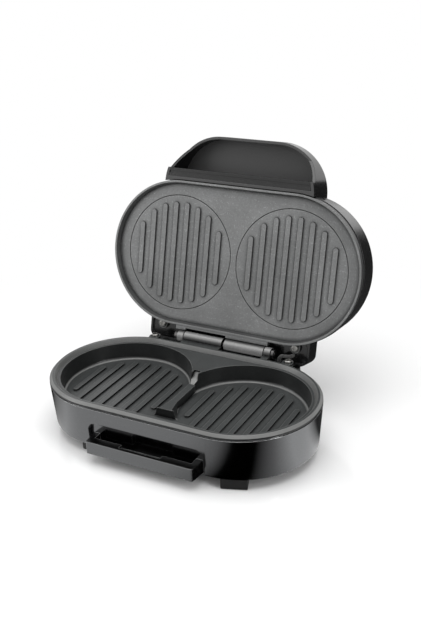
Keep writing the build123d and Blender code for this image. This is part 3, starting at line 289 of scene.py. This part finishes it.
# lid cover and handle: polished black ABS, with a finely textured panel inside the hood
# it gives the eye deep black with thin highlights, and a dark grey matt field behind the fingers
blackGloss = {
    "colour": "#080808",
    "smear": "#101011",
    "smearSize": 22 * mm,
    "smearRange": {"From Min": 0.35, "From Max": 0.75},
    "peelSize": 5 * mm,
    "peelDepth": 0.006 * mm,
    "roughLow": 0.10,
    "roughHigh": 0.20,
    "edge": 0.9 * mm,
    "ior": 1.54,
    "panelColour": "#343434",
    "panelRange": {"From Min": 0.9, "From Max": 0.98},    # normal against the way the lid plate looks
    "panelGrain": 0.9 * mm,
    "panelDepth": 0.05 * mm,
    "panelRough": 0.55,
}


def glossyAbs(name, panel):
    # panel is 1 where the piece has a textured face towards the user, or 0
    p = blackGloss
    material, tree, place = newMaterial(name)
    smears = addNode(tree, "ShaderNodeTexNoise", inputs={
        "Vector": place, "Scale": 1 / p["smearSize"], "Detail": 4.0, "Roughness": 0.6})
    peel = addNode(tree, "ShaderNodeTexNoise", inputs={
        "Vector": place, "Scale": 1 / p["peelSize"], "Detail": 1.0})
    grain = addNode(tree, "ShaderNodeTexNoise", inputs={
        "Vector": place, "Scale": 1 / p["panelGrain"], "Detail": 2.0})
    # faces that look the way the plate does
    facing = addNode(tree, "ShaderNodeVectorMath", {"operation": "DOT_PRODUCT"}, {
        0: addNode(tree, "ShaderNodeTexCoord").outputs["Normal"], 1: plateFront})
    textured = addNode(tree, "ShaderNodeMapRange", inputs={
        "Value": facing.outputs["Value"], **p["panelRange"], "To Max": panel})
    sheen = addNode(tree, "ShaderNodeMapRange", inputs={
        "Value": smears.outputs["Fac"], **p["smearRange"]})
    gloss = addNode(tree, "ShaderNodeMix", {"data_type": "RGBA"}, {
        0: sheen.outputs["Result"], 6: linear(p["colour"]), 7: linear(p["smear"])})
    colour = addNode(tree, "ShaderNodeMix", {"data_type": "RGBA"}, {
        0: textured.outputs["Result"], 6: gloss.outputs[2], 7: linear(p["panelColour"])})
    polished = addNode(tree, "ShaderNodeMapRange", inputs={
        "Value": smears.outputs["Fac"], "To Min": p["roughLow"], "To Max": p["roughHigh"]})
    rough = addNode(tree, "ShaderNodeMix", inputs={
        0: textured.outputs["Result"], 2: polished.outputs["Result"], 3: p["panelRough"]})
    rounded = addNode(tree, "ShaderNodeBevel", {"samples": softSamples}, {"Radius": p["edge"]})
    ripple = addNode(tree, "ShaderNodeBump", inputs={
        "Height": peel.outputs["Fac"], "Distance": p["peelDepth"], "Normal": rounded.outputs["Normal"]})
    bump = addNode(tree, "ShaderNodeBump", inputs={
        "Height": grain.outputs["Fac"], "Strength": textured.outputs["Result"], "Distance": p["panelDepth"],
        "Normal": ripple.outputs["Normal"]})
    surface = addNode(tree, "ShaderNodeBsdfPrincipled", inputs={
        "Base Color": colour.outputs[2], "Roughness": rough.outputs[0], "IOR": p["ior"],
        "Normal": bump.outputs["Normal"]})
    addNode(tree, "ShaderNodeOutputMaterial", inputs={"Surface": surface.outputs["BSDF"]})
    return material


paint(glossyAbs("glossyAbs.plain", 0.0), "lid_cover")
paint(glossyAbs("glossyAbs.hood", 1.0), "lid_handle")
print("lid mouldings done")


# plain mouldings: spark-eroded grain on the bar, polypropylene and rubber, nylon, steatite, board resin
# they give the eye a dull surface with a fine even grain, and the bar a coarse one that breaks its light
plainMouldings = {
    "barAbs": {"colour": "#060606", "rough": 0.20, "ior": 1.54, "grain": 2.4 * mm, "depth": 0.16 * mm},
    "polypropylene": {"colour": "#151515", "rough": 0.52, "ior": 1.49, "grain": 0.8 * mm, "depth": 0.03 * mm},
    "footRubber": {"colour": "#1a1a1a", "rough": 0.62, "ior": 1.52, "grain": 0.7 * mm, "depth": 0.05 * mm},
    "steatite": {"colour": "#ddd6c8", "rough": 0.42, "ior": 1.6, "grain": 1.2 * mm, "depth": 0.02 * mm},
    "terminalNylon": {"colour": "#e6e2d8", "rough": 0.45, "ior": 1.53, "grain": 0.9 * mm, "depth": 0.02 * mm},
    "circuitBoard": {"colour": "#1f5a34", "rough": 0.35, "ior": 1.5, "grain": 1.0 * mm, "depth": 0.02 * mm},
}
mouldingSpread = {"darker": 0.7, "lighter": 1.2, "rough": 0.08, "edge": 0.4 * mm}


def plainMoulding(name):
    p = plainMouldings[name]
    spread = mouldingSpread
    material, tree, place = newMaterial(name)
    grain = addNode(tree, "ShaderNodeTexNoise", inputs={
        "Vector": place, "Scale": 1 / p["grain"], "Detail": 2.0, "Roughness": 0.7})
    colour = addNode(tree, "ShaderNodeMix", {"data_type": "RGBA"}, {
        0: grain.outputs["Fac"], 6: linear(p["colour"], spread["darker"]),
        7: linear(p["colour"], spread["lighter"])})
    rough = addNode(tree, "ShaderNodeMapRange", inputs={
        "Value": grain.outputs["Fac"], "To Min": p["rough"] - spread["rough"],
        "To Max": p["rough"] + spread["rough"]})
    rounded = addNode(tree, "ShaderNodeBevel", {"samples": softSamples}, {"Radius": spread["edge"]})
    bump = addNode(tree, "ShaderNodeBump", inputs={
        "Height": grain.outputs["Fac"], "Distance": p["depth"], "Normal": rounded.outputs["Normal"]})
    surface = addNode(tree, "ShaderNodeBsdfPrincipled", inputs={
        "Base Color": colour.outputs[2], "Roughness": rough.outputs["Result"], "IOR": p["ior"],
        "Normal": bump.outputs["Normal"]})
    addNode(tree, "ShaderNodeOutputMaterial", inputs={"Surface": surface.outputs["BSDF"]})
    return material


paint(plainMoulding("barAbs"), "handle_bar")
paint(plainMoulding("polypropylene"), "bottom_cover", "cord_gland")
paint(plainMoulding("footRubber"), "feet")
paint(plainMoulding("steatite"), "thermostat")
paint(plainMoulding("terminalNylon"), "terminal_block")
paint(plainMoulding("circuitBoard"), "lamp_board")
print("plain mouldings done")


# metals: blued pin, nickelled screws, zinc-plated clamps, oxidised heater tube, bright rolled trays
# they give the eye fine lines across X and cloudy patches of tarnish
metals = {
    "bluedSteel": {"colour": "#5a5959", "rough": 0.30, "lines": 0.6 * mm, "depth": 0.006 * mm},
    "nickelledSteel": {"colour": "#9b9a97", "rough": 0.34, "lines": 0.5 * mm, "depth": 0.008 * mm},
    "zincPlate": {"colour": "#a9a9a0", "rough": 0.40, "lines": 1.5 * mm, "depth": 0.004 * mm},
    "oxidisedTube": {"colour": "#5a5048", "rough": 0.50, "lines": 2.5 * mm, "depth": 0.010 * mm},
    "brightSheet": {"colour": "#c6c6c6", "rough": 0.24, "lines": 1.2 * mm, "depth": 0.003 * mm},
}
metalSpread = {"darker": 0.6, "lighter": 1.2, "rough": 0.08, "edge": 0.3 * mm, "tarnishSize": 4 * mm}


def metal(name):
    p = metals[name]
    spread = metalSpread
    material, tree, place = newMaterial(name)
    tarnish = addNode(tree, "ShaderNodeTexNoise", inputs={
        "Vector": place, "Scale": 1 / spread["tarnishSize"], "Detail": 4.0, "Roughness": 0.65})
    lines = addNode(tree, "ShaderNodeTexWave", {"bands_direction": "X"}, {
        "Vector": place, "Scale": waveShare / p["lines"], "Distortion": 1.5, "Detail": 1.0})
    colour = addNode(tree, "ShaderNodeMix", {"data_type": "RGBA"}, {
        0: tarnish.outputs["Fac"], 6: linear(p["colour"], spread["darker"]),
        7: linear(p["colour"], spread["lighter"])})
    rough = addNode(tree, "ShaderNodeMapRange", inputs={
        "Value": tarnish.outputs["Fac"], "To Min": p["rough"] - spread["rough"],
        "To Max": p["rough"] + spread["rough"]})
    rounded = addNode(tree, "ShaderNodeBevel", {"samples": softSamples}, {"Radius": spread["edge"]})
    bump = addNode(tree, "ShaderNodeBump", inputs={
        "Height": lines.outputs["Fac"], "Distance": p["depth"], "Normal": rounded.outputs["Normal"]})
    surface = addNode(tree, "ShaderNodeBsdfPrincipled", inputs={
        "Base Color": colour.outputs[2], "Metallic": 1.0, "Roughness": rough.outputs["Result"],
        "Normal": bump.outputs["Normal"]})
    addNode(tree, "ShaderNodeOutputMaterial", inputs={"Surface": surface.outputs["BSDF"]})
    return material


paint(metal("bluedSteel"), "hinge_pin", "pin_clip")
paint(metal("nickelledSteel"), *[name for name in nodes if name.endswith("screws")])
paint(metal("zincPlate"), "lower_clamps", "upper_clamps")
paint(metal("oxidisedTube"), "lower_element", "upper_element")
paint(metal("brightSheet"), "lower_reflector", "upper_reflector", "thermal_fuse")
print("metals done")


# wires: extruded silicone rubber
# it gives the eye a soft dull red with a slightly dusty edge
siliconeInsulation = {
    "dark": "#7c1a14",
    "light": "#9a2219",
    "grain": 1.0 * mm,
    "depth": 0.02 * mm,
    "rough": 0.48,
    "roughSpread": 0.08,
    "sheen": 0.2,
    "ior": 1.41,
}


def wireSilicone():
    p = siliconeInsulation
    material, tree, place = newMaterial("siliconeInsulation")
    grain = addNode(tree, "ShaderNodeTexNoise", inputs={
        "Vector": place, "Scale": 1 / p["grain"], "Detail": 2.0})
    colour = addNode(tree, "ShaderNodeMix", {"data_type": "RGBA"}, {
        0: grain.outputs["Fac"], 6: linear(p["dark"]), 7: linear(p["light"])})
    rough = addNode(tree, "ShaderNodeMapRange", inputs={
        "Value": grain.outputs["Fac"], "To Min": p["rough"] - p["roughSpread"],
        "To Max": p["rough"] + p["roughSpread"]})
    bump = addNode(tree, "ShaderNodeBump", inputs={"Height": grain.outputs["Fac"], "Distance": p["depth"]})
    surface = addNode(tree, "ShaderNodeBsdfPrincipled", inputs={
        "Base Color": colour.outputs[2], "Roughness": rough.outputs["Result"], "IOR": p["ior"],
        "Sheen Weight": p["sheen"], "Normal": bump.outputs["Normal"]})
    addNode(tree, "ShaderNodeOutputMaterial", inputs={"Surface": surface.outputs["BSDF"]})
    return material


# sleeve: glass-fibre yarns braided round the wires
# it gives the eye black with a dry shine on the crossings
braid = {
    "gap": "#0b0b0b",
    "yarn": "#2c2b2a",
    "pitch": 1.2 * mm,           # the yarns come about 0.4 mm apart
    "roughGap": 0.8,
    "roughYarn": 0.6,
    "depth": 0.12 * mm,
    "sheen": 0.3,
    "ior": 1.5,
}


def braidedSleeve():
    p = braid
    material, tree, place = newMaterial("braidedSleeve")
    yarns = []
    for direction in ((1, 1, 1), (1, -1, -1)):
        along = addNode(tree, "ShaderNodeVectorMath", {"operation": "DOT_PRODUCT"}, {
            0: place, 1: direction})
        spread = addNode(tree, "ShaderNodeCombineXYZ", inputs={"X": along.outputs["Value"]})
        yarns.append(addNode(tree, "ShaderNodeTexWave", {"bands_direction": "X"}, {
            "Vector": spread.outputs["Vector"], "Scale": waveShare / p["pitch"]}))
    weave = addNode(tree, "ShaderNodeMath", {"operation": "MAXIMUM"}, {
        0: yarns[0].outputs["Fac"], 1: yarns[1].outputs["Fac"]})
    colour = addNode(tree, "ShaderNodeMix", {"data_type": "RGBA"}, {
        0: weave.outputs[0], 6: linear(p["gap"]), 7: linear(p["yarn"])})
    rough = addNode(tree, "ShaderNodeMapRange", inputs={
        "Value": weave.outputs[0], "To Min": p["roughGap"], "To Max": p["roughYarn"]})
    bump = addNode(tree, "ShaderNodeBump", inputs={"Height": weave.outputs[0], "Distance": p["depth"]})
    surface = addNode(tree, "ShaderNodeBsdfPrincipled", inputs={
        "Base Color": colour.outputs[2], "Roughness": rough.outputs["Result"], "IOR": p["ior"],
        "Sheen Weight": p["sheen"], "Normal": bump.outputs["Normal"]})
    addNode(tree, "ShaderNodeOutputMaterial", inputs={"Surface": surface.outputs["BSDF"]})
    return material


# lenses: amber acrylic, unlit
# it gives the eye a deep orange under a clear skin
amber = {
    "dark": "#8a3408",
    "light": "#c0560f",
    "cloud": 2.0 * mm,
    "roughLow": 0.12,
    "roughHigh": 0.20,
    "edge": 0.4 * mm,
    "coat": 0.5,
    "ior": 1.49,
}


def amberAcrylic():
    p = amber
    material, tree, place = newMaterial("amberAcrylic")
    cloud = addNode(tree, "ShaderNodeTexNoise", inputs={
        "Vector": place, "Scale": 1 / p["cloud"], "Detail": 2.0})
    colour = addNode(tree, "ShaderNodeMix", {"data_type": "RGBA"}, {
        0: cloud.outputs["Fac"], 6: linear(p["dark"]), 7: linear(p["light"])})
    rough = addNode(tree, "ShaderNodeMapRange", inputs={
        "Value": cloud.outputs["Fac"], "To Min": p["roughLow"], "To Max": p["roughHigh"]})
    rounded = addNode(tree, "ShaderNodeBevel", {"samples": softSamples}, {"Radius": p["edge"]})
    surface = addNode(tree, "ShaderNodeBsdfPrincipled", inputs={
        "Base Color": colour.outputs[2], "Roughness": rough.outputs["Result"], "IOR": p["ior"],
        "Coat Weight": p["coat"], "Normal": rounded.outputs["Normal"]})
    addNode(tree, "ShaderNodeOutputMaterial", inputs={"Surface": surface.outputs["BSDF"]})
    return material


paint(wireSilicone(), "base_wires", "lid_wires")
paint(braidedSleeve(), "base_sleeve", "lid_sleeve")
paint(amberAcrylic(), "indicator_lenses")
print("wires, sleeves and lenses done")


# floor: a pale table top that runs into white; glossy rays see a painted reflection of dark and light
# stretches instead
# it gives the eye a plain white ground with the object's shadow, and in the lacquer the painted reflection's
# black and light bands
floorTop = {
    "size": 6.0,
    "cuts": 7,
    "colour": "#f6f6f6",
    "rough": 0.10,
    "whiteFrom": 0.22,           # from this far out the floor runs into the white backdrop
    "whiteTo": 0.45,
    "middle": (0.0, -0.041, 0.0),
    # turn round the object as a share of a full circle, and how light the painted reflection is there
    # 0 and 1 are behind it, 0.25 is at its left, 0.5 in front of it, 0.75 at its right
    "paintedReflection": [
        (0.00, 0.40), (0.16, 0.40), (0.21, 0.0), (0.26, 0.0), (0.33, 0.85), (0.37, 0.70), (0.52, 0.60),
        (0.575, 0.35), (0.605, 0.0), (0.655, 0.0), (0.69, 0.35), (0.73, 1.0), (0.775, 1.0), (0.81, 0.04),
        (0.97, 0.04), (1.00, 0.40),
    ],
}


def paintedReflectionFloor(tree, offset):
    # painted reflection: a glow whose lightness goes by the turn round the object
    stretches = floorTop["paintedReflection"]
    axes = addNode(tree, "ShaderNodeSeparateXYZ", inputs={"Vector": offset})
    front = addNode(tree, "ShaderNodeMath", {"operation": "MULTIPLY"}, {0: axes.outputs["Y"], 1: -1.0})
    turn = addNode(tree, "ShaderNodeMath", {"operation": "ARCTAN2"}, {
        0: axes.outputs["X"], 1: front.outputs[0]})
    share = addNode(tree, "ShaderNodeMapRange", inputs={
        "Value": turn.outputs[0], "From Min": radians(-180), "From Max": radians(180)})
    light = addNode(tree, "ShaderNodeValToRGB", inputs={"Fac": share.outputs["Result"]})
    stops = light.color_ramp.elements
    stops.remove(stops[-1])
    stops[0].color = [stretches[0][1]] * 3 + [1]
    for position, level in stretches[1:]:
        stops.new(position).color = (level, level, level, 1)
    return addNode(tree, "ShaderNodeEmission", inputs={"Color": light.outputs["Color"]})


def paleFloor():
    p = floorTop
    material, tree, place = newMaterial("paleFloor")
    top = addNode(tree, "ShaderNodeBsdfPrincipled", inputs={
        "Base Color": linear(p["colour"]), "Roughness": p["rough"]})
    white = addNode(tree, "ShaderNodeEmission", inputs={"Color": pureWhite})
    seen = addNode(tree, "ShaderNodeLightPath")
    offset = addNode(tree, "ShaderNodeVectorMath", {"operation": "SUBTRACT"}, {0: place, 1: p["middle"]})
    distance = addNode(tree, "ShaderNodeVectorMath", {"operation": "LENGTH"}, {0: offset.outputs[0]})
    far = addNode(tree, "ShaderNodeMapRange", {"interpolation_type": "SMOOTHSTEP"}, {
        "Value": distance.outputs["Value"], "From Min": p["whiteFrom"], "From Max": p["whiteTo"]})
    farSeen = addNode(tree, "ShaderNodeMath", {"operation": "MULTIPLY"}, {
        0: far.outputs["Result"], 1: seen.outputs["Is Camera Ray"]})
    shown = addNode(tree, "ShaderNodeMixShader", inputs={
        0: farSeen.outputs[0], 1: top.outputs["BSDF"], 2: white.outputs["Emission"]})
    paintedReflection = paintedReflectionFloor(tree, offset.outputs[0])
    surface = addNode(tree, "ShaderNodeMixShader", inputs={
        0: seen.outputs["Is Glossy Ray"], 1: shown.outputs[0], 2: paintedReflection.outputs["Emission"]})
    addNode(tree, "ShaderNodeOutputMaterial", inputs={"Surface": surface.outputs[0]})
    return material


def layFloor(material):
    mesh = bpy.data.meshes.new("floor")
    half = floorTop["size"] / 2
    build = bmesh.new()
    places = ((-half, -half, 0), (half, -half, 0), (half, half, 0), (-half, half, 0))
    corners = [build.verts.new(place) for place in places]
    build.faces.new(corners)
    bmesh.ops.subdivide_edges(build, edges=build.edges[:], cuts=floorTop["cuts"], use_grid_fill=True)
    build.to_mesh(mesh)
    build.free()
    mesh.materials.append(material)
    floor = bpy.data.objects.new("floor", mesh)
    bpy.context.collection.objects.link(floor)


# world: white to the eye, in gloss and through glass, and dimmer as a light
worldLight = 0.55


def whiteWorld():
    world = bpy.data.worlds.new("studioWorld")
    world.use_nodes = True
    tree = world.node_tree
    tree.nodes.clear()
    seen = addNode(tree, "ShaderNodeLightPath")
    gloss = addNode(tree, "ShaderNodeMath", {"operation": "MAXIMUM"}, {
        0: seen.outputs["Is Glossy Ray"], 1: seen.outputs["Is Transmission Ray"]})
    shown = addNode(tree, "ShaderNodeMath", {"operation": "MAXIMUM"}, {
        0: gloss.outputs[0], 1: seen.outputs["Is Camera Ray"]})
    light = addNode(tree, "ShaderNodeBackground", inputs={"Color": pureWhite, "Strength": worldLight})
    white = addNode(tree, "ShaderNodeBackground", inputs={"Color": pureWhite, "Strength": 1.0})
    mix = addNode(tree, "ShaderNodeMixShader", inputs={
        0: shown.outputs[0], 1: light.outputs[0], 2: white.outputs[0]})
    addNode(tree, "ShaderNodeOutputWorld", inputs={"Surface": mix.outputs[0]})
    bpy.context.scene.world = world


# soft boxes: place, width and height in metres, power in watts; all aim at the object
softBoxes = {
    "softBoxTop": {"place": (0.1, -0.1, 1.5), "size": (1.4, 1.4), "watts": 16},
    "softBoxLeft": {"place": (-1.3, -0.9, 0.8), "size": (0.9, 1.2), "watts": 9},
    "softBoxRight": {"place": (1.5, -0.5, 0.6), "size": (0.25, 1.2), "watts": 6},
}


def hangSoftBoxes():
    aim = Vector((0, 0, 0.1))
    for name, box in softBoxes.items():
        light = bpy.data.lights.new(name, "AREA")
        light.shape = "RECTANGLE"
        light.size, light.size_y = box["size"]
        light.energy = box["watts"]
        lamp = bpy.data.objects.new(name, light)
        bpy.context.collection.objects.link(lamp)
        turned = (aim - Vector(box["place"])).to_track_quat("-Z", "Y")
        lamp.matrix_world = Matrix.Translation(box["place"]) @ turned.to_matrix().to_4x4()


# camera: fitted to the photograph, angles in degrees
photoCamera = {
    "eye": (368.86 * mm, -663.03 * mm, 439.91 * mm),
    "azimuth": 28.537,
    "elevation": 24.235,
    "roll": -2.12,
    "lens": 53.125,
    "sensor": 36.0,
}


def placeCamera():
    p = photoCamera
    camera = bpy.data.objects.new("photoCamera", bpy.data.cameras.new("photoCamera"))
    camera.data.lens = p["lens"]
    camera.data.sensor_width = p["sensor"]
    bpy.context.collection.objects.link(camera)
    camera.matrix_world = (
        Matrix.Translation(p["eye"])
        @ Matrix.Rotation(radians(p["azimuth"]), 4, "Z")
        @ Matrix.Rotation(radians(90 - p["elevation"]), 4, "X")
        @ Matrix.Rotation(radians(p["roll"]), 4, "Z")
    )
    bpy.context.scene.camera = camera


layFloor(paleFloor())
whiteWorld()
hangSoftBoxes()
placeCamera()
bpy.context.scene.view_settings.view_transform = "Standard"
print("studio set")
